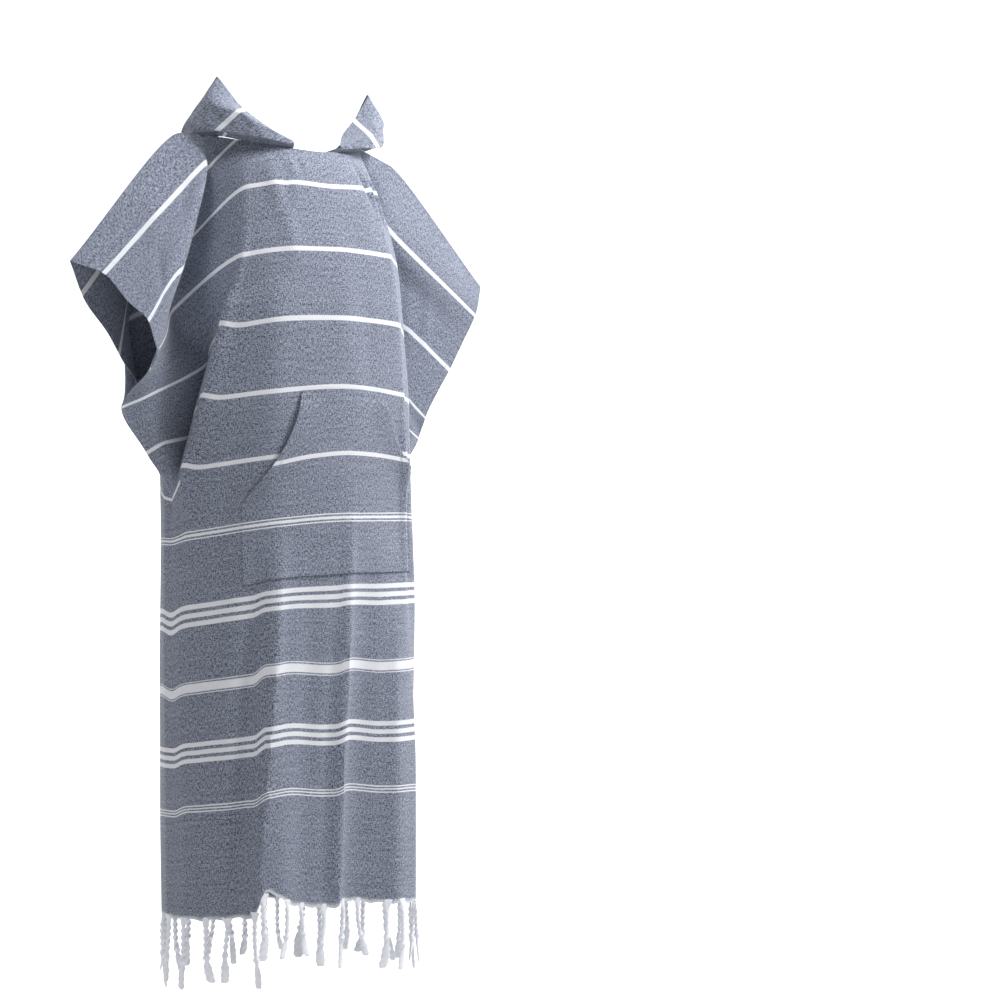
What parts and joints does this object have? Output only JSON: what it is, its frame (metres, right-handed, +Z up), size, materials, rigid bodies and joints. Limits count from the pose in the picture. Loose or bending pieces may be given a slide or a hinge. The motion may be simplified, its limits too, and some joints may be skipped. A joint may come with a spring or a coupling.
{
  "type": "hooded bath poncho",
  "caption": "Striped cotton poncho towel with short wide sleeves, hood worn down, front pocket and a knotted fringe at the hems.",
  "frame": {"origin": "middle of the neck opening at shoulder height, where the wearer holds the garment up", "axes": "+Z up, the front faces -Y, the wearer's right is -X"},
  "size_m": [0.746, 0.3122, 1.2863],
  "materials": {
    "cloth": "matt woven cotton, blue grey with white stripes",
    "fringe": "twisted white cotton yarn"
  },
  "bodies": {
    "root": {"front": "cloth", "back": "cloth", "hood_right": "cloth", "hood_left": "cloth", "pocket": "cloth", "fringe_front": "fringe", "fringe_back": "fringe"}
  },
  "joints": []
}
